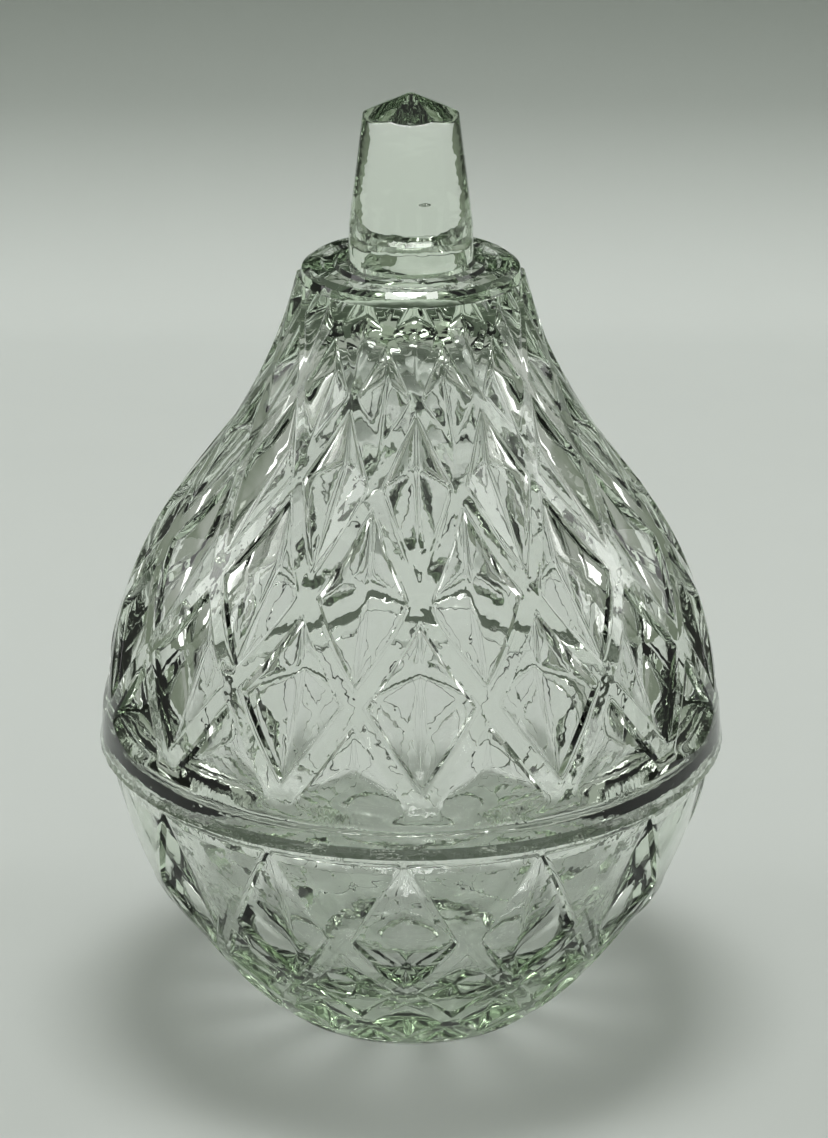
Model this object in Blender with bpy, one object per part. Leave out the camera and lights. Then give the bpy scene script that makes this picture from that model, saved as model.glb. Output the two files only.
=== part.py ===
"""Covered candy dish in pale green-grey pressed glass, pear shaped when closed.

Two pieces: a round bowl that stands on a flat foot ring, and a hollow domed lid with a solid knob
pressed in one with it. Both are covered on the outside by one lattice of flat diagonal ribs with
a hollow cut into every diamond between them. The lid's rim lies on the bowl's rim, and a low ring
under the lid keeps it centred in the mouth.

The frame: origin in the middle of the foot ring's resting plane, +Z up through the knob. One
column of diamonds faces -Y. Sizes are in millimetres until they are placed in the meshes.
"""
import math

import bmesh
import bpy
from mathutils import Vector

MM = 0.001

# The lattice: diamonds side by side round the dish, and each rib's width as a share of a diamond.
# A hollow's depth is a share of the radius there, and its deepest point lies above the middle.
COLUMNS = 14
RIB_SHARE = 0.12
HOLLOW_SHARE = 0.052
HOLLOW_LIFT = 0.14
GRID_STOPS = (0.0, RIB_SHARE / 2, 0.5, 1.0 - RIB_SHARE / 2)

# Where ribs cross, every half diamond up each piece: height and outer radius.
BOWL_CROSSINGS = ((-4.0, 18.0), (2.6, 26.6), (9.2, 33.2), (18.6, 40.4), (31.5, 48.2), (48.9, 52.6), (66.0, 52.6))
BOWL_FIRST_HALF_ROW = -5
LID_CROSSINGS = ((41.8, 54.2), (58.4, 53.4), (75.0, 49.7), (90.3, 42.3), (106.0, 31.2), (119.2, 23.9),
                 (129.4, 20.3), (137.6, 18.0))
LID_FIRST_HALF_ROW = -1

# The seat: the lid's flat rim over the bowl's flat rim, with the gap that two loose pieces keep.
# A plain band, hardly lower than the ribs, runs round the lid's rim.
SEAT_HEIGHT = 50.0
BAND_RADIUS = 53.0
BAND_TOP = 58.4
SEAT_GAP = 0.3
LATTICE_BOTTOM = 0.5

# The bowl's inside and underside.
MOUTH_RADIUS = 49.3
MOUTH_DEPTH = 3.85
BOWL_FLOOR = 7.4
BOWL_INSIDE = ((47.2, 42.5), (45.2, 38.0), (42.8, 31.5), (38.4, 24.0), (31.5, 16.5), (23.5, 11.2), (13.0, 8.1))
FOOT = ((23.2, 0.0), (24.1, 0.5), (24.4, 1.2), (23.0, 2.4))
FOOT_RING_INNER = 17.5
FOOT_RECESS = 1.3

# The lid's centring ring and inside.
RING_OUTER = 48.5
RING_WIDTH = 2.4
RING_BOTTOM = 46.6
LID_INSIDE = ((46.9, 58.4), (43.7, 75.0), (36.6, 89.0), (26.0, 104.0), (18.0, 117.0), (13.4, 123.4), (6.8, 126.3))
LID_CEILING = 127.0

# The shoulder on top of the lid's dome, and the knob.
SHOULDER = ((18.75, 133.2), (18.3, 134.6), (17.2, 135.4), (15.2, 135.4), (14.5, 134.9), (12.9, 134.9),
            (12.4, 135.6), (10.9, 135.7))
KNOB_SIDE = ((10.5, 136.5), (10.2, 142.7), (7.6, 162.2))
KNOB_TIP = 164.7
KNOB_TIP_FACETS = 6
KNOB_TIP_SLOPE = 0.485
CROWN_BOTTOM = (9.0, 129.5)
LATTICE_TOP = 133.2

TURN_STEPS = 56
SMOOTH_ANGLE = math.radians(8.0)
GLASS_COLOUR = (0.80, 0.86, 0.79, 0.4)
GLASS_ROUGHNESS = 0.03
GLASS_IOR = 1.52


def clear_scene():
    """Start from an empty scene."""
    for item in list(bpy.data.objects):
        bpy.data.objects.remove(item, do_unlink=True)


def glass_material(name):
    """Pale pressed glass, seen through."""
    material = bpy.data.materials.new(name)
    material.use_nodes = True
    shader = material.node_tree.nodes["Principled BSDF"]
    shader.inputs["Base Color"].default_value = GLASS_COLOUR[:3] + (1.0,)
    shader.inputs["Roughness"].default_value = GLASS_ROUGHNESS
    shader.inputs["Metallic"].default_value = 0.0
    shader.inputs["IOR"].default_value = GLASS_IOR
    shader.inputs["Transmission Weight"].default_value = 1.0
    shader.inputs["Alpha"].default_value = GLASS_COLOUR[3]
    material.diffuse_color = GLASS_COLOUR
    return material


def make_object(name, bm):
    """Turn a bmesh into a scene object."""
    bmesh.ops.recalc_face_normals(bm, faces=bm.faces)
    mesh = bpy.data.meshes.new(name)
    bm.to_mesh(mesh)
    bm.free()
    item = bpy.data.objects.new(name, mesh)
    bpy.context.scene.collection.objects.link(item)
    return item


def curve_through(points, position):
    """A smooth (Catmull-Rom) curve through a list of points; whole positions are the points."""
    last = len(points) - 1
    index = max(0, min(last - 1, math.floor(position)))
    along = position - index
    before, start, end, after = (Vector(points[max(0, min(last, index + step))]) for step in (-1, 0, 1, 2))
    bend = 2.0 * before - 5.0 * start + 4.0 * end - after
    twist = 3.0 * start - before - 3.0 * end + after
    return start + 0.5 * along * (end - before + along * (bend + along * twist))


def grid_value(index):
    """The lattice coordinate of one grid line: four lines to a diamond, close beside each rib."""
    return index // len(GRID_STOPS) + GRID_STOPS[index % len(GRID_STOPS)]


def lattice_body(name, crossings, first_half_row, plain_rows, bottom, top):
    """A solid with ribs and hollows all round its side, cut flat at the bottom and the top.

    Diamonds whose middle is on a plain half row have no hollow.
    """
    bm = bmesh.new()
    stops = len(GRID_STOPS)
    turn = 2 * stops * COLUMNS
    lowest = stops * first_half_row
    highest = lowest + stops * (len(crossings) - 1)
    corners = {}

    def corner(total, difference):
        key = (total, difference % turn)
        if key not in corners:
            across = (total + difference) // 2
            against = (total - difference) // 2
            rise = grid_value(across) + grid_value(against)
            angle = math.pi * (grid_value(across) - grid_value(against)) / COLUMNS
            middle = across % stops == 2 and against % stops == 2
            hollow = middle and rise not in plain_rows
            if hollow:
                rise += 2.0 * HOLLOW_LIFT
            height, radius = curve_through(crossings, rise - first_half_row)
            if hollow:
                radius *= 1.0 - HOLLOW_SHARE
            place = (radius * math.sin(angle), -radius * math.cos(angle), height)
            corners[key] = bm.verts.new(Vector(place) * MM)
        return corners[key]

    for total in range(lowest, highest - 1):
        for difference in range(total % 2, turn, 2):
            bm.faces.new((corner(total, difference), corner(total + 1, difference + 1),
                          corner(total + 2, difference), corner(total + 1, difference - 1)))
    bmesh.ops.triangulate(bm, faces=bm.faces)
    cut_flat(bm, Vector((0, 0, bottom * MM)), Vector((0, 0, -1)))
    cut_flat(bm, Vector((0, 0, top * MM)), Vector((0, 0, 1)))
    return make_object(name, bm)


def cut_flat(bm, point, outward):
    """Remove everything outside a plane and close the cut with a flat face."""
    everything = bm.verts[:] + bm.edges[:] + bm.faces[:]
    bmesh.ops.bisect_plane(bm, geom=everything, plane_co=point, plane_no=outward, clear_outer=True)
    rim = [edge for edge in bm.edges if edge.is_boundary
           and all(abs((end.co - point).dot(outward)) < 1e-7 for end in edge.verts)]
    bmesh.ops.contextual_create(bm, geom=rim)


def turned_body(name, outline):
    """A solid turned round the Z axis from (radius, height) points, closed on the axis at both ends."""
    bm = bmesh.new()
    chain = [bm.verts.new((radius * MM, 0.0, height * MM)) for radius, height in outline]
    edges = [bm.edges.new(pair) for pair in zip(chain, chain[1:])]
    bmesh.ops.spin(bm, geom=chain + edges, axis=(0, 0, 1), cent=(0, 0, 0), angle=math.tau,
                   steps=TURN_STEPS, use_merge=True)
    bmesh.ops.remove_doubles(bm, verts=bm.verts, dist=1e-6)
    bmesh.ops.dissolve_degenerate(bm, edges=bm.edges, dist=1e-7)
    return make_object(name, bm)


def smooth_outline(points, steps_per_span=2):
    """The points of an outline with more between them on a smooth curve."""
    count = (len(points) - 1) * steps_per_span
    return [tuple(curve_through(points, step / steps_per_span)) for step in range(count + 1)]


def combine(body, tool, operation):
    """Join a tool to a body, or cut it away, and drop the tool."""
    change = body.modifiers.new(operation.lower(), "BOOLEAN")
    change.operation = operation
    change.solver = "EXACT"
    change.object = tool
    shaped = bpy.data.meshes.new_from_object(body.evaluated_get(bpy.context.evaluated_depsgraph_get()))
    body.modifiers.clear()
    body.data = shaped
    bpy.data.objects.remove(tool, do_unlink=True)


def finish(body, material):
    """Flat-sided triangles, smooth shading over the gentle bends, and the piece's own glass."""
    bm = bmesh.new()
    bm.from_mesh(body.data)
    bmesh.ops.triangulate(bm, faces=bm.faces)
    bmesh.ops.remove_doubles(bm, verts=bm.verts, dist=5e-6)
    bmesh.ops.dissolve_degenerate(bm, edges=bm.edges, dist=5e-6)
    bm.to_mesh(body.data)
    bm.free()
    body.data.materials.clear()
    body.data.materials.append(material)
    body.data.shade_smooth()
    body.data.set_sharp_from_angle(angle=SMOOTH_ANGLE)


def make_bowl():
    """The bowl: latticed outside, smooth inside, flat rim, and a low foot ring underneath."""
    rim = SEAT_HEIGHT - SEAT_GAP / 2
    bowl = lattice_body("bowl", BOWL_CROSSINGS, BOWL_FIRST_HALF_ROW, (0, 1), LATTICE_BOTTOM, rim)
    combine(bowl, turned_body("foot", ((0.0, 0.0),) + FOOT + ((0.0, FOOT[-1][1]),)), "UNION")
    mouth_end = rim - MOUTH_DEPTH
    wall = smooth_outline(((MOUTH_RADIUS, mouth_end),) + BOWL_INSIDE + ((0.0, BOWL_FLOOR),))
    inside = [(0.0, rim + 5.0), (MOUTH_RADIUS, rim + 5.0)] + wall
    combine(bowl, turned_body("bowl_hollow", inside), "DIFFERENCE")
    recess = [(0.0, FOOT_RECESS), (FOOT_RING_INNER - FOOT_RECESS, FOOT_RECESS), (FOOT_RING_INNER, -2.0), (0.0, -2.0)]
    combine(bowl, turned_body("foot_recess", recess), "DIFFERENCE")
    finish(bowl, glass_material("bowl_glass"))


def make_knob():
    """The shoulder and the knob: a solid taper with a low six-sided point."""
    outline = [(0.0, CROWN_BOTTOM[1]), CROWN_BOTTOM] + list(SHOULDER) + list(KNOB_SIDE)
    crown = turned_body("crown", outline + [(KNOB_SIDE[-1][0], KNOB_TIP), (0.0, KNOB_TIP)])
    bm = bmesh.new()
    bm.from_mesh(crown.data)
    for facet in range(KNOB_TIP_FACETS):
        angle = math.tau * facet / KNOB_TIP_FACETS
        outward = Vector((KNOB_TIP_SLOPE * math.sin(angle), -KNOB_TIP_SLOPE * math.cos(angle), 1.0)).normalized()
        cut_flat(bm, Vector((0, 0, KNOB_TIP * MM)), outward)
    bmesh.ops.recalc_face_normals(bm, faces=bm.faces)
    bm.to_mesh(crown.data)
    bm.free()
    return crown


def make_lid():
    """The lid: latticed dome, shoulder and knob, hollow underneath, with the centring ring."""
    rim = SEAT_HEIGHT + SEAT_GAP / 2
    lid = lattice_body("lid", LID_CROSSINGS, LID_FIRST_HALF_ROW, (-1,), rim, LATTICE_TOP)
    band = [(0.0, BAND_TOP), (BAND_RADIUS, BAND_TOP), (BAND_RADIUS, rim + 0.2), (0.0, rim + 0.2)]
    combine(lid, turned_body("rim_band", band), "UNION")
    combine(lid, make_knob(), "UNION")
    ring = [(0.0, rim + 3.0), (RING_OUTER, rim + 3.0), (RING_OUTER, RING_BOTTOM), (0.0, RING_BOTTOM)]
    combine(lid, turned_body("centring_ring", ring), "UNION")
    throat = RING_OUTER - RING_WIDTH
    dome = smooth_outline(((throat, rim + 1.0),) + LID_INSIDE + ((0.0, LID_CEILING),))
    inside = [(0.0, LID_CEILING)] + dome[-2::-1] + [(throat, RING_BOTTOM - 5.0), (0.0, RING_BOTTOM - 5.0)]
    combine(lid, turned_body("lid_hollow", inside), "DIFFERENCE")
    finish(lid, glass_material("lid_glass"))


clear_scene()
make_bowl()
make_lid()
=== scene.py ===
"""Looks of a covered candy dish in pale grey-green pressed glass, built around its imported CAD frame.

The bowl and the lid are each one closed glass body. The outside is a lattice of flat diagonal ribs
with a faceted hollow in every diamond, apart from a few plain rows at the rims; the inside is smooth.
Sizes are in millimetres until they are placed in the meshes; the world is in metres, with the dish
standing on z = 0.
"""
import math

import bmesh
import bpy
import numpy as np
from mathutils import Matrix, Vector, noise


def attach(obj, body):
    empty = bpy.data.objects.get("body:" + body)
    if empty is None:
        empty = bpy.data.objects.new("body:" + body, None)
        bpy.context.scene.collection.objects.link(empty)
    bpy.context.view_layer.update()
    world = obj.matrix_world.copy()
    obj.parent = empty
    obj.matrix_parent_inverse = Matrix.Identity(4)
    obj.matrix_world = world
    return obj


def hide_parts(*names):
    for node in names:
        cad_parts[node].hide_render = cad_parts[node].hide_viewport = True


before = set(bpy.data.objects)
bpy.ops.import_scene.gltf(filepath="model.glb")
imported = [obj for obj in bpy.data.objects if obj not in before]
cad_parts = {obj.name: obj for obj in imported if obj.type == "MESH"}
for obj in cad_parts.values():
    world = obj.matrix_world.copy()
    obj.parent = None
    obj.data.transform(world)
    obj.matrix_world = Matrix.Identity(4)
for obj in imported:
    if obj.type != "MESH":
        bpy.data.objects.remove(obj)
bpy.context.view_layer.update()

MM = 0.001

# The lattice: diamonds side by side round the dish, grid steps along a diamond's side, and how far
# the steps crowd towards the ribs. Every hollow is four flat facets that meet in a point above the
# diamond's middle: its depth is a share of half the diamond's width, and the lift is a share of its
# length. The facets aim at corners RIB_PROUD mm above the ribs, which leaves wide flat ribs. A rib's
# half width, and the edge beside it, are shares of a diamond. The roundings, between facets and at
# the ribs, are in mm.
COLUMNS = 14
STEPS = 32
STEP_CROWDING = 0.45
BOWL_HOLLOW_SHARE = 0.19
LID_HOLLOW_SHARE = 0.28
HOLLOW_LIFT = 0.14
RIB_PROUD = 0.4
RIB_HALF = 0.085
RIB_EDGE = 0.04
FOLD_ROUNDING = 0.15
RIDGE_ROUNDING = 0.12
# Half diamonds next to the lid's plain rim band: their deepest point's place and their shallower depth.
FOOT_ROW_LIFT = 0.36
FOOT_ROW_DEPTH = 0.8
# How far a diamond's top and bottom corners lie from its middle, and the step that a slope is read over.
CORNER_REACH = 0.999
SLOPE_STEP = 0.02
LID_TURN = math.radians(2.0)
BOWL_TURN = math.radians(-1.3)

# Where ribs cross, every half diamond up each piece: height and outer radius.
BOWL_CROSSINGS = ((-4.0, 18.0), (2.6, 26.6), (9.2, 33.2), (18.6, 40.4), (31.5, 48.2), (52.6, 53.0),
                  (70.0, 53.0))
BOWL_FIRST_HALF_ROW = -5
BOWL_PLAIN_ROWS = (0, 1, 2)
LID_CROSSINGS = ((41.8, 54.2), (58.4, 53.4), (75.0, 49.7), (90.3, 42.3), (106.0, 31.2), (119.2, 23.9),
                 (129.4, 20.3), (137.6, 18.0))
LID_FIRST_HALF_ROW = -1
LID_PLAIN_ROWS = (-1,)
LID_FOOT_ROW = 0

BOWL_RIM = 49.85
LID_RIM = 50.15
LATTICE_BOTTOM = 1.2
LATTICE_TOP = 133.2

# Turned outlines, (radius, height), each from the end of the lattice to the axis.
BOWL_MOUTH = ((52.3, 49.85), (51.9, 49.85), (48.9, 49.85), (48.5, 49.5), (48.4, 49.0))
BOWL_INSIDE = ((48.3, 46.0), (47.4, 42.5), (46.0, 38.0), (43.4, 31.5), (38.9, 24.0), (31.8, 16.5),
               (23.5, 11.2), (13.0, 8.1), (0.0, 7.4))
BOWL_FOOT = ((24.4, 1.2), (24.1, 0.5), (23.5, 0.1), (22.8, 0.0), (18.3, 0.0), (17.5, 0.15), (16.6, 0.9),
             (15.2, 1.25), (0.0, 1.3))
RING_BOTTOM = 46.6
LID_SEAT = ((53.2, 50.15), (48.1, 50.15), (47.7, 49.9), (47.6, 49.4), (47.6, 47.1), (47.2, RING_BOTTOM),
            (45.7, RING_BOTTOM), (45.2, 47.1))
LID_INSIDE = ((45.4, 51.0), (46.9, 58.4), (43.7, 75.0), (36.6, 89.0), (26.0, 104.0), (18.0, 117.0),
              (13.4, 123.4), (6.8, 126.3), (0.0, 127.0))
INSIDE_STEPS = 6
SHOULDER = ((18.75, 133.2), (18.3, 134.6), (17.2, 135.4), (15.2, 135.4), (14.5, 134.9), (12.9, 134.9),
            (12.4, 135.6), (10.9, 135.7), (10.5, 136.3))
KNOB_SIDE = ((10.5, 137.0), (10.35, 142.2), (7.95, 161.5))
KNOB_TIP = 164.7
KNOB_TIP_FACETS = 6
KNOB_TIP_SLOPE = 0.485
KNOB_TIP_SHARPNESS = 60.0
KNOB_TIP_BLUNTING = 0.12
KNOB_EDGE = 0.45
# Rings up the knob's side, as shares of its height; round its edge; and over its tip, as radii.
KNOB_SIDE_SHARES = (0.12, 0.25, 0.4, 0.55, 0.7, 0.85)
KNOB_EDGE_SHARES = (0.0, 0.25, 0.5, 0.75, 1.0)
KNOB_TIP_RADII = (6.3, 5.2, 4.1, 3.0, 2.0, 1.2, 0.6)
TURN_STEPS = 224

# The uneven bead round both rims: how far it stands out, its half height, the length of its waves
# and their share of it. Then the bubble in the knob: its place and its half sizes.
BEAD = 0.22
BEAD_WIDTH = 0.8
BEAD_WAVE = 1.3
BEAD_UNEVENNESS = 0.6
BEAD_FROM_RADIUS = 51.0
KNOB_BUBBLES = (((2.0, -6.0, 147.2), (0.9, 0.5, 0.28)),)

# Edges sharper than this many degrees stay crisp. The skin's waves are in mm, and leave a flat
# face alone within this distance. The seed fixes where they lie, which otherwise follows the clock.
SHARP_ANGLE = 32.0
WAVINESS = 0.05
WAVE_LENGTH = 9.0
FLAT_REACH = 0.3
WAVE_SEED = 7

# The glass: how much it bends light, and the fine unevenness of its fire-polished skin.
GLASS_IOR = 1.52
SKIN_NOISE_SCALE = 260.0
SKIN_BUMP_STRENGTH = 0.12
SKIN_BUMP_DEPTH = 0.0006

# The glass's faint tint: what is left of white light after passing through, and how fast it builds up.
GLASS_TINT = (0.45, 0.78, 0.28, 1.0)
BOWL_TINT_DENSITY = 12.0
LID_TINT_DENSITY = 8.0

# The camera, in metres and degrees.
CAMERA_BACK = 0.6919
CAMERA_HEIGHT = 0.3548
CAMERA_DOWN = 21.67
CAMERA_SIDE = 0.0005
LENS = 136.66

# The paper sheet that the dish stands on, in metres, and the room round it.
PAPER_FRONT = 0.60
PAPER_HALF_WIDTH = 0.22
PAPER_HEIGHT = 0.60
SWEEP_START = 0.36
SWEEP_RADIUS = 0.05
SWEEP_STEPS = 16
PAPER_COLOUR = (0.66, 0.69, 0.665)
GRAIN_SCALE = 30.0
GRAIN_DARKENING = 0.97
# The paper's even glow: painted light that lifts its shade.
PAPER_GLOW = 0.02
# Painted light that the glass would gather on the paper round the foot: its strength, its reach and its
# rays.
POOL_GLOW = 0.30
POOL_INNER, POOL_OUTER = 0.018, 0.052
POOL_RAYS = 14
POOL_BETWEEN_RAYS = 0.6
# Painted shade up the wall: over this height the paper darkens to this colour, standing in for the shade
# above the lit floor.
WALL_SHADE_HEIGHT = 0.14
WALL_SHADE_COLOUR = (0.05, 0.07, 0.045, 1.0)
ROOM_LOW_COLOUR = (0.16, 0.19, 0.14, 1.0)
ROOM_HIGH_COLOUR = (0.36, 0.38, 0.345, 1.0)
ROOM_LOW, ROOM_HIGH = -0.1, 0.3
LIGHT_BOUNCES = 32

# The lights, in metres and watts: the large one overhead, and the same window on each side.
OVERHEAD_PLACE = (0.0, 0.10, 0.85)
OVERHEAD_TARGET = (0.0, 0.60, 0.0)
OVERHEAD_SIZE = (0.32, 0.28)
OVERHEAD_POWER = 3.4
WINDOW_SIDE, WINDOW_BACK, WINDOW_HEIGHT = 0.8, 0.10, 0.48
WINDOW_TARGET = (0.0, 0.0, 0.08)
WINDOW_SIZE = (0.30, 0.6)
WINDOW_POWER = 1.1


def spline(points, positions):
    """A natural cubic spline through points one apart, read at many positions."""
    points = np.array(points, float)
    count = len(points)
    system = np.eye(count)
    bends = np.zeros_like(points)
    for row in range(1, count - 1):
        system[row, row - 1:row + 2] = 1.0, 4.0, 1.0
        bends[row] = 6.0 * (points[row - 1] - 2.0 * points[row] + points[row + 1])
    bends = np.linalg.solve(system, bends)
    index = np.clip(np.floor(positions).astype(int), 0, count - 2)
    after = (positions - index)[..., None]
    before = 1.0 - after
    return (before * points[index] + after * points[index + 1]
            + ((before ** 3 - before) * bends[index] + (after ** 3 - after) * bends[index + 1]) / 6.0)


def soft_max(first, second, rounding):
    """The greater of two values, with the fold between them rounded."""
    return 0.5 * (first + second + np.sqrt((first - second) ** 2 + rounding ** 2))


def facet_plane(corner, side, deepest):
    """A plane through a diamond's top or bottom corner, a side corner and the deepest point.

    Each point is (along the diamond, out of it) on the middle line, with the side corner's
    distance from that line first. Returns the rise per mm across, the rise per mm along and the level.
    """
    slope = (corner[1] - deepest[1]) / (corner[0] - deepest[0])
    level = deepest[1] - slope * deepest[0]
    spread = (side[2] - slope * side[1] - level) / side[0]
    return spread, slope, level


def diamond_shape(crossings, place, hollow_share, foot_row):
    """One diamond's frame and its facet planes, for the diamond whose middle is at that place."""
    def at(position):
        return spline(crossings, np.array([position]))[0]

    height, radius = at(place)
    rise, run = at(place + SLOPE_STEP) - at(place - SLOPE_STEP)
    length = math.hypot(rise, run)
    along = np.array([run, rise]) / length
    outward = np.array([rise, -run]) / length

    def local(position, angle=0.0):
        corner_height, corner_radius = at(position)
        offset = np.array([corner_radius * math.cos(angle) - radius, corner_height - height])
        return offset @ along, offset @ outward + RIB_PROUD

    angle = math.pi / COLUMNS
    half_width = radius * math.sin(angle)
    side = (half_width, *local(place, angle))
    top, bottom = local(place + CORNER_REACH), local(place - CORNER_REACH)
    deepest_along = local(place + 2.0 * HOLLOW_LIFT)[0]
    depth = radius * (1.0 - math.cos(angle)) + hollow_share * half_width
    if foot_row:
        deepest_along, depth = local(place + FOOT_ROW_LIFT)[0], FOOT_ROW_DEPTH * depth
    deepest = (deepest_along, -depth)
    upper = facet_plane(top, side, deepest)
    if foot_row:
        edge = local(place, angle)
        slope = (edge[1] - deepest[1]) / (edge[0] - deepest[0])
        lower = (0.0, slope, deepest[1] - slope * deepest[0])
    else:
        lower = facet_plane(bottom, side, deepest)
    return np.array([height, radius, *along, *outward, *upper, *lower])


def lattice_skin(crossings, first_half_row, turn, hollow_share, plain_rows, foot_row=None):
    """Vertices and faces of the latticed side. Diamonds whose row is plain stay uncut."""
    even = np.arange(STEPS) / STEPS
    stops = even - STEP_CROWDING * np.sin(math.tau * even) / math.tau
    round_count = 2 * STEPS * COLUMNS
    last = len(crossings) - 1
    total = np.arange(STEPS * first_half_row, STEPS * (first_half_row + last) + 1)
    sums, differences = np.meshgrid(total, np.arange(round_count), indexing="ij")
    across, against = (sums + differences) // 2, (sums - differences) // 2
    across_place = across // STEPS + stops[across % STEPS]
    against_place = against // STEPS + stops[against % STEPS]
    outline = spline(crossings, np.clip(across_place + against_place - first_half_row, 0.0, last))
    heights, radii = outline[..., 0], outline[..., 1]
    angles = math.pi * (across_place - against_place) / COLUMNS
    rows = across // STEPS + against // STEPS + 1
    middles = math.pi * (across // STEPS - against // STEPS) / COLUMNS
    places = np.clip(np.arange(rows.min(), rows.max() + 1) - first_half_row, SLOPE_STEP, last - SLOPE_STEP)
    shapes = np.array([diamond_shape(crossings, place, hollow_share, row == foot_row)
                       for row, place in enumerate(places, rows.min())])[rows - rows.min()]
    (middle_height, middle_radius, along_r, along_z, out_r, out_z,
     up_spread, up_slope, up_level, low_spread, low_slope, low_level) = np.moveaxis(shapes, -1, 0)
    sideways = radii * np.sin(angles - middles)
    inward = radii * np.cos(angles - middles) - middle_radius
    climb = heights - middle_height
    along = inward * along_r + climb * along_z
    level = inward * out_r + climb * out_z
    spread = np.sqrt(sideways ** 2 + FOLD_ROUNDING ** 2)
    floor = soft_max(up_spread * spread + up_slope * along + up_level,
                     low_spread * spread + low_slope * along + low_level, FOLD_ROUNDING)
    depth = soft_max(level - floor, 0.0, RIDGE_ROUNDING)
    shares = np.stack([across_place % 1.0, against_place % 1.0])
    edge = np.clip((np.minimum(shares, 1.0 - shares).min(axis=0) - RIB_HALF) / RIB_EDGE, 0.0, 1.0)
    depth = np.where(np.isin(rows, plain_rows), 0.0, depth * edge ** 2 * (3.0 - 2.0 * edge))
    radial = inward + middle_radius - depth * out_r
    heights = heights - depth * out_z
    turned = middles + turn
    points = np.stack([radial * np.sin(turned) + sideways * np.cos(turned),
                       sideways * np.sin(turned) - radial * np.cos(turned), heights], axis=-1)
    numbers = np.arange(sums.size).reshape(sums.shape)
    faces = []
    for row in range(len(total) - 2):
        centres = np.arange(total[row] % 2, round_count, 2)
        right, left = (centres + 1) % round_count, (centres - 1) % round_count
        faces.append(np.stack([numbers[row, centres], numbers[row + 1, right],
                               numbers[row + 2, centres], numbers[row + 1, left]], axis=-1))
    return points.reshape(-1, 3), np.concatenate(faces)


def skin_bmesh(points, faces, bottom, top):
    """The side as a bmesh, cut flat at two heights, with the rims of both cuts in order of angle."""
    mesh = bpy.data.meshes.new("skin")
    mesh.from_pydata((points * MM).tolist(), [], faces.tolist())
    bm = bmesh.new()
    bm.from_mesh(mesh)
    bpy.data.meshes.remove(mesh)
    bmesh.ops.delete(bm, geom=[vert for vert in bm.verts if not vert.link_faces], context="VERTS")
    rims = []
    for height, outward in ((bottom, -1), (top, 1)):
        everything = bm.verts[:] + bm.edges[:] + bm.faces[:]
        bmesh.ops.bisect_plane(bm, geom=everything, dist=1e-6, plane_co=(0, 0, height * MM),
                               plane_no=(0, 0, outward), clear_outer=True)
    for height in (bottom, top):
        rim = {end for edge in bm.edges if edge.is_boundary for end in edge.verts
               if abs(end.co.z - height * MM) < 2e-6}
        rims.append(sorted(rim, key=angle_of))
    return bm, rims


def angle_of(vert):
    """The angle of a vertex round the axis."""
    return math.atan2(vert.co.y, vert.co.x)


def zip_rings(bm, first, second, flip=False):
    """Triangles between two rings of vertices, each in order of angle."""
    start = min(range(len(second)), key=lambda index: abs(angle_of(second[index]) - angle_of(first[0])))
    second = second[start:] + second[:start]
    one, two = 0, 0
    while one < len(first) or two < len(second):
        first_is_behind = (one + 1) * len(second) <= (two + 1) * len(first)
        go_one = two >= len(second) or (one < len(first) and first_is_behind)
        here, there = first[one % len(first)], second[two % len(second)]
        if go_one:
            one += 1
            corners = [here, first[one % len(first)], there]
        else:
            two += 1
            corners = [here, second[two % len(second)], there]
        bm.faces.new(corners[::-1] if flip else corners)


def add_rings(bm, rings):
    """Quads between rings of points; the last ring closes on one point."""
    made = [[bm.verts.new(Vector(point) * MM) for point in ring] for ring in rings[:-1]]
    count = TURN_STEPS
    for low, high in zip(made, made[1:]):
        for step in range(count):
            after = (step + 1) % count
            bm.faces.new((low[step], low[after], high[after], high[step]))
    centre = bm.verts.new(Vector(rings[-1][0]) * MM)
    for step in range(count):
        bm.faces.new((made[-1][step], made[-1][(step + 1) % count], centre))
    return made[0]


def turn_angles():
    """The angles of a turned ring's points, in the order that rims are sorted in."""
    return -math.pi + math.tau * np.arange(TURN_STEPS) / TURN_STEPS


def turned_rings(outline):
    """Rings of points for a turned outline; the last outline point lies on the axis."""
    angles = turn_angles()
    rings = []
    for radius, height in outline[:-1]:
        rings.append([(radius * math.cos(a), radius * math.sin(a), height) for a in angles])
    rings.append([(0.0, 0.0, outline[-1][1])])
    return rings


def smoothed(outline, steps):
    """An outline with more points on a spline through its own."""
    count = (len(outline) - 1) * steps
    return [tuple(point) for point in spline(outline, np.arange(count + 1) / steps)]


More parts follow.
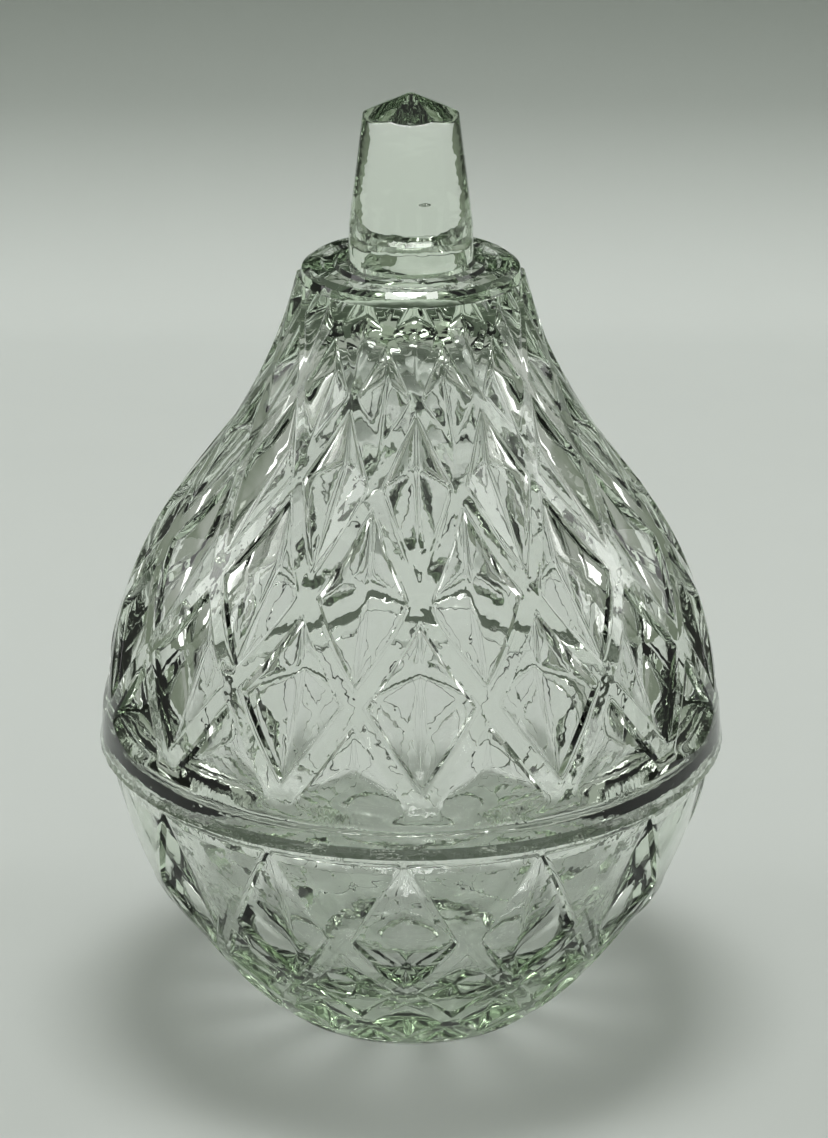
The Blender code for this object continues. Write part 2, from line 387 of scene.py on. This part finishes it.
def knob_rings():
    """Rings of the shoulder and the knob, whose top is a low point with soft-edged facets."""
    angles = turn_angles()
    rings = turned_rings(list(SHOULDER) + [KNOB_SIDE[0], KNOB_SIDE[1], (0.0, 0.0)])[:-1]
    facet = np.linspace(0.0, math.tau, KNOB_TIP_FACETS, endpoint=False) - math.pi / 2
    leans = np.cos(angles[:, None] - facet[None, :])
    lean = np.log(np.exp(KNOB_TIP_SHARPNESS * leans).sum(axis=1)) / KNOB_TIP_SHARPNESS * KNOB_TIP_SLOPE
    low_radius, low = KNOB_SIDE[1]
    top_radius, top = KNOB_SIDE[2]
    edge_height = KNOB_TIP - lean * top_radius

    def side(share):
        heights = low + (edge_height - low) * share
        radii = low_radius + (top_radius - low_radius) * (heights - low) / (top - low)
        return radii, heights

    def cap(radius):
        return np.full(TURN_STEPS, radius), KNOB_TIP - lean * radius

    profile = [side(share) for share in KNOB_SIDE_SHARES]
    before, corner, after = side(1.0 - KNOB_EDGE / (top - low)), side(1.0), cap(top_radius - KNOB_EDGE)
    for share in KNOB_EDGE_SHARES:
        weights = (1 - share) ** 2, 2 * share * (1 - share), share ** 2
        profile.append(tuple(sum(w * part[axis] for w, part in zip(weights, (before, corner, after)))
                             for axis in (0, 1)))
    profile += [cap(radius) for radius in KNOB_TIP_RADII]
    for radii, heights in profile:
        rings.append([(r * math.cos(a), r * math.sin(a), h) for r, a, h in zip(radii, angles, heights)])
    rings.append([(0.0, 0.0, KNOB_TIP - KNOB_TIP_BLUNTING)])
    return rings


def make_wavy(bm, flat_heights):
    """Faint unevenness, as pressed glass has, except on the faces that rest on something."""
    for vert in bm.verts:
        if any(abs(vert.co.z / MM - height) < FLAT_REACH for height in flat_heights):
            continue
        place = vert.co / (MM * WAVE_LENGTH)
        vert.co += noise.noise_vector(place) * WAVINESS * MM


def add_bead(bm, rim_height):
    """A thin uneven bead round the outside of a rim, where the mould halves met."""
    for vert in bm.verts:
        height, radius = vert.co.z / MM, math.hypot(vert.co.x, vert.co.y) / MM
        if radius < BEAD_FROM_RADIUS:
            continue
        rise = math.exp(-((height - rim_height) / BEAD_WIDTH) ** 2)
        swell = BEAD * (1.0 + BEAD_UNEVENNESS * noise.noise(vert.co / (MM * BEAD_WAVE)))
        vert.co.xy *= 1.0 + rise * swell / radius


def add_bubble(bm, place, radii):
    """A small flattened air bubble shut inside the glass, with its faces turned to the air."""
    shape = Matrix.Translation(Vector(place) * MM) @ Matrix.Diagonal(Vector(radii) * MM).to_4x4()
    made = bmesh.ops.create_uvsphere(bm, u_segments=16, v_segments=10, radius=1.0, matrix=shape)
    faces = list(dict.fromkeys(face for vert in made["verts"] for face in vert.link_faces))
    bmesh.ops.recalc_face_normals(bm, faces=faces)
    bmesh.ops.reverse_faces(bm, faces=faces)


def finish_piece(name, bm, material, body, node, flat_heights, bubbles=()):
    """A finished glass piece that stands for a CAD node and rides on its body."""
    make_wavy(bm, flat_heights)
    bmesh.ops.recalc_face_normals(bm, faces=bm.faces)
    for place, radii in bubbles:
        add_bubble(bm, place, radii)
    mesh = bpy.data.meshes.new(name)
    bm.to_mesh(mesh)
    bm.free()
    mesh.materials.append(material)
    mesh.shade_smooth()
    mesh.set_sharp_from_angle(angle=math.radians(SHARP_ANGLE))
    piece = bpy.data.objects.new(name, mesh)
    bpy.context.scene.collection.objects.link(piece)
    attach(piece, body)
    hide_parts(node)
    return piece


def make_bowl(material):
    """The bowl: lattice, flat rim, smooth inside and foot ring."""
    points, faces = lattice_skin(BOWL_CROSSINGS, BOWL_FIRST_HALF_ROW, BOWL_TURN, BOWL_HOLLOW_SHARE,
                                 BOWL_PLAIN_ROWS)
    bm, (foot_rim, mouth_rim) = skin_bmesh(points, faces, LATTICE_BOTTOM, BOWL_RIM)
    foot = add_rings(bm, turned_rings(BOWL_FOOT))
    zip_rings(bm, foot_rim, foot)
    inside = list(BOWL_MOUTH) + smoothed(BOWL_INSIDE, INSIDE_STEPS)
    mouth = add_rings(bm, turned_rings(inside))
    zip_rings(bm, mouth_rim, mouth)
    add_bead(bm, BOWL_RIM)
    return finish_piece("bowl_pressed_glass", bm, material, "bowl_body", "bowl", (0.0, BOWL_RIM))


def make_lid(material):
    """The lid: plain rim band, lattice, shoulder, knob and smooth inside."""
    points, faces = lattice_skin(LID_CROSSINGS, LID_FIRST_HALF_ROW, LID_TURN, LID_HOLLOW_SHARE,
                                 LID_PLAIN_ROWS, LID_FOOT_ROW)
    bm, (seat_rim, top_rim) = skin_bmesh(points, faces, LID_RIM, LATTICE_TOP)
    crown = add_rings(bm, knob_rings())
    zip_rings(bm, top_rim, crown)
    inside = list(LID_SEAT) + smoothed(LID_INSIDE, INSIDE_STEPS)
    seat = add_rings(bm, turned_rings(inside))
    zip_rings(bm, seat_rim, seat)
    add_bead(bm, LID_RIM)
    return finish_piece("lid_pressed_glass", bm, material, "lid_body", "lid", (LID_RIM, RING_BOTTOM),
                        KNOB_BUBBLES)


def glass(name, density):
    """Clear pressed glass: a faint tint in the body, and a slightly uneven fire-polished skin."""
    material = bpy.data.materials.new(name)
    material.use_nodes = True
    nodes, links = material.node_tree.nodes, material.node_tree.links
    shader = nodes["Principled BSDF"]
    output = nodes["Material Output"]
    shader.inputs["Base Color"].default_value = (1.0, 1.0, 1.0, 1.0)
    shader.inputs["Roughness"].default_value = 0.0
    shader.inputs["IOR"].default_value = GLASS_IOR
    shader.inputs["Transmission Weight"].default_value = 1.0
    place = nodes.new("ShaderNodeTexCoord")
    waves = nodes.new("ShaderNodeTexNoise")
    waves.inputs["Scale"].default_value = SKIN_NOISE_SCALE
    waves.inputs["Detail"].default_value = 2.0
    bump = nodes.new("ShaderNodeBump")
    bump.inputs["Strength"].default_value = SKIN_BUMP_STRENGTH
    bump.inputs["Distance"].default_value = SKIN_BUMP_DEPTH
    links.new(place.outputs["Object"], waves.inputs["Vector"])
    links.new(waves.outputs["Fac"], bump.inputs["Height"])
    links.new(bump.outputs["Normal"], shader.inputs["Normal"])
    body = nodes.new("ShaderNodeVolumeAbsorption")
    body.inputs["Color"].default_value = GLASS_TINT
    body.inputs["Density"].default_value = density
    links.new(body.outputs["Volume"], output.inputs["Volume"])
    return material


def light_pool(nodes, links, place):
    """The paper's painted glow: even, and stronger in faint rays round the foot, painted where glass
    gathers light.
    """
    distance = nodes.new("ShaderNodeVectorMath")
    distance.operation = "LENGTH"
    reach = nodes.new("ShaderNodeMapRange")
    reach.interpolation_type = "SMOOTHSTEP"
    reach.inputs["From Min"].default_value = POOL_INNER
    reach.inputs["From Max"].default_value = POOL_OUTER
    reach.inputs["To Min"].default_value = POOL_GLOW
    reach.inputs["To Max"].default_value = 0.0
    turn = nodes.new("ShaderNodeTexGradient")
    turn.gradient_type = "RADIAL"
    phase = nodes.new("ShaderNodeMath")
    phase.operation = "MULTIPLY"
    phase.inputs[1].default_value = math.tau * POOL_RAYS
    wave = nodes.new("ShaderNodeMath")
    wave.operation = "SINE"
    rays = nodes.new("ShaderNodeMapRange")
    rays.inputs["From Min"].default_value = -1.0
    rays.inputs["To Min"].default_value = POOL_BETWEEN_RAYS
    glow = nodes.new("ShaderNodeMath")
    glow.operation = "MULTIPLY_ADD"
    glow.inputs[2].default_value = PAPER_GLOW
    links.new(place.outputs["Object"], distance.inputs[0])
    links.new(distance.outputs["Value"], reach.inputs["Value"])
    links.new(place.outputs["Object"], turn.inputs["Vector"])
    links.new(turn.outputs["Fac"], phase.inputs[0])
    links.new(phase.outputs["Value"], wave.inputs[0])
    links.new(wave.outputs["Value"], rays.inputs["Value"])
    links.new(reach.outputs["Result"], glow.inputs[0])
    links.new(rays.outputs["Result"], glow.inputs[1])
    return glow.outputs["Value"]


def clear_from_behind(nodes, links):
    """Let the back of a surface be looked through, so the dish can be seen from every side."""
    facing = nodes.new("ShaderNodeNewGeometry")
    clear = nodes.new("ShaderNodeBsdfTransparent")
    either = nodes.new("ShaderNodeMixShader")
    links.new(facing.outputs["Backfacing"], either.inputs["Fac"])
    links.new(nodes["Principled BSDF"].outputs["BSDF"], either.inputs[1])
    links.new(clear.outputs["BSDF"], either.inputs[2])
    links.new(either.outputs["Shader"], nodes["Material Output"].inputs["Surface"])


def paper(name, colour):
    """Matt pale paper with a very faint grain, painted shade that darkens it up the wall, a painted glow,
    and clear from behind.
    """
    material = bpy.data.materials.new(name)
    material.use_nodes = True
    nodes, links = material.node_tree.nodes, material.node_tree.links
    shader = nodes["Principled BSDF"]
    shader.inputs["Roughness"].default_value = 0.9
    place = nodes.new("ShaderNodeTexCoord")
    split = nodes.new("ShaderNodeSeparateXYZ")
    # Painted shade: the paper's colour darkens towards the wall colour as it rises.
    rise = nodes.new("ShaderNodeMapRange")
    rise.inputs["From Min"].default_value = 0.0
    rise.inputs["From Max"].default_value = WALL_SHADE_HEIGHT
    grain = nodes.new("ShaderNodeTexNoise")
    grain.inputs["Scale"].default_value = GRAIN_SCALE
    speckle = nodes.new("ShaderNodeValToRGB")
    speckle.color_ramp.elements[0].color = tuple(GRAIN_DARKENING * part for part in colour) + (1.0,)
    speckle.color_ramp.elements[1].color = colour + (1.0,)
    wall_shade_mix = nodes.new("ShaderNodeMix")
    wall_shade_mix.data_type = "RGBA"
    wall_shade_mix.inputs["B"].default_value = WALL_SHADE_COLOUR
    links.new(place.outputs["Object"], split.inputs["Vector"])
    links.new(split.outputs["Z"], rise.inputs["Value"])
    links.new(place.outputs["Object"], grain.inputs["Vector"])
    links.new(grain.outputs["Fac"], speckle.inputs["Fac"])
    links.new(rise.outputs["Result"], wall_shade_mix.inputs["Factor"])
    links.new(speckle.outputs["Color"], wall_shade_mix.inputs["A"])
    links.new(wall_shade_mix.outputs["Result"], shader.inputs["Base Color"])
    links.new(wall_shade_mix.outputs["Result"], shader.inputs["Emission Color"])
    # The emission is painted light: an even glow and a pool of light round the foot.
    links.new(light_pool(nodes, links, place), shader.inputs["Emission Strength"])
    clear_from_behind(nodes, links)
    return material


def make_stage():
    """A sheet of pale paper that lies under the dish and sweeps up into a wall behind it."""
    outline = [(-PAPER_FRONT, 0.0), (SWEEP_START, 0.0)]
    for step in range(1, SWEEP_STEPS + 1):
        angle = math.pi / 2 * step / SWEEP_STEPS
        outline.append((SWEEP_START + SWEEP_RADIUS * math.sin(angle),
                        SWEEP_RADIUS - SWEEP_RADIUS * math.cos(angle)))
    outline.append((SWEEP_START + SWEEP_RADIUS, PAPER_HEIGHT))
    bm = bmesh.new()
    left = [bm.verts.new((-PAPER_HALF_WIDTH, y, z)) for y, z in outline]
    right = [bm.verts.new((PAPER_HALF_WIDTH, y, z)) for y, z in outline]
    for step in range(len(outline) - 1):
        bm.faces.new((left[step], right[step], right[step + 1], left[step + 1]))
    mesh = bpy.data.meshes.new("backdrop")
    bm.to_mesh(mesh)
    bm.free()
    mesh.shade_smooth()
    mesh.materials.append(paper("pale_paper", PAPER_COLOUR))
    backdrop = bpy.data.objects.new("backdrop", mesh)
    bpy.context.scene.collection.objects.link(backdrop)


def soft_light(name, place, target, size, power):
    """A rectangular soft light that faces a target."""
    data = bpy.data.lights.new(name, "AREA")
    data.shape = "RECTANGLE"
    data.size, data.size_y = size
    data.energy = power
    lamp = bpy.data.objects.new(name, data)
    lamp.location = place
    lamp.rotation_euler = (Vector(target) - Vector(place)).to_track_quat("-Z", "Y").to_euler()
    bpy.context.scene.collection.objects.link(lamp)


def make_lights():
    """Even soft light: a dim room, a large light overhead, and a weaker tall light on each side."""
    world = bpy.data.worlds.new("room")
    world.use_nodes = True
    nodes, links = world.node_tree.nodes, world.node_tree.links
    direction = nodes.new("ShaderNodeTexCoord")
    split = nodes.new("ShaderNodeSeparateXYZ")
    rise = nodes.new("ShaderNodeMapRange")
    rise.inputs["From Min"].default_value = ROOM_LOW
    rise.inputs["From Max"].default_value = ROOM_HIGH
    room = nodes.new("ShaderNodeMix")
    room.data_type = "RGBA"
    room.inputs["A"].default_value = ROOM_LOW_COLOUR
    room.inputs["B"].default_value = ROOM_HIGH_COLOUR
    links.new(direction.outputs["Generated"], split.inputs["Vector"])
    links.new(split.outputs["Z"], rise.inputs["Value"])
    links.new(rise.outputs["Result"], room.inputs["Factor"])
    links.new(room.outputs["Result"], nodes["Background"].inputs["Color"])
    bpy.context.scene.world = world
    bpy.context.scene.view_settings.view_transform = "Standard"
    bpy.context.scene.cycles.max_bounces = LIGHT_BOUNCES
    bpy.context.scene.cycles.transmission_bounces = LIGHT_BOUNCES
    soft_light("overhead", OVERHEAD_PLACE, OVERHEAD_TARGET, OVERHEAD_SIZE, OVERHEAD_POWER)
    for name, side in (("left_window", -WINDOW_SIDE), ("right_window", WINDOW_SIDE)):
        soft_light(name, (side, WINDOW_BACK, WINDOW_HEIGHT), WINDOW_TARGET, WINDOW_SIZE, WINDOW_POWER)


def make_camera():
    """The camera: in front of the dish, a little above it, looking slightly down."""
    data = bpy.data.cameras.new("camera")
    data.sensor_fit = "AUTO"
    data.sensor_width = 36.0
    data.lens = LENS
    camera = bpy.data.objects.new("camera", data)
    camera.location = (CAMERA_SIDE, -CAMERA_BACK, CAMERA_HEIGHT)
    camera.rotation_euler = (math.radians(90.0 - CAMERA_DOWN), 0.0, 0.0)
    data.clip_start, data.clip_end = 0.01, 10.0
    bpy.context.scene.collection.objects.link(camera)
    bpy.context.scene.camera = camera


noise.seed_set(WAVE_SEED)
make_camera()
make_stage()
make_lights()
make_bowl(glass("bowl_glass_look", BOWL_TINT_DENSITY))
make_lid(glass("lid_glass_look", LID_TINT_DENSITY))
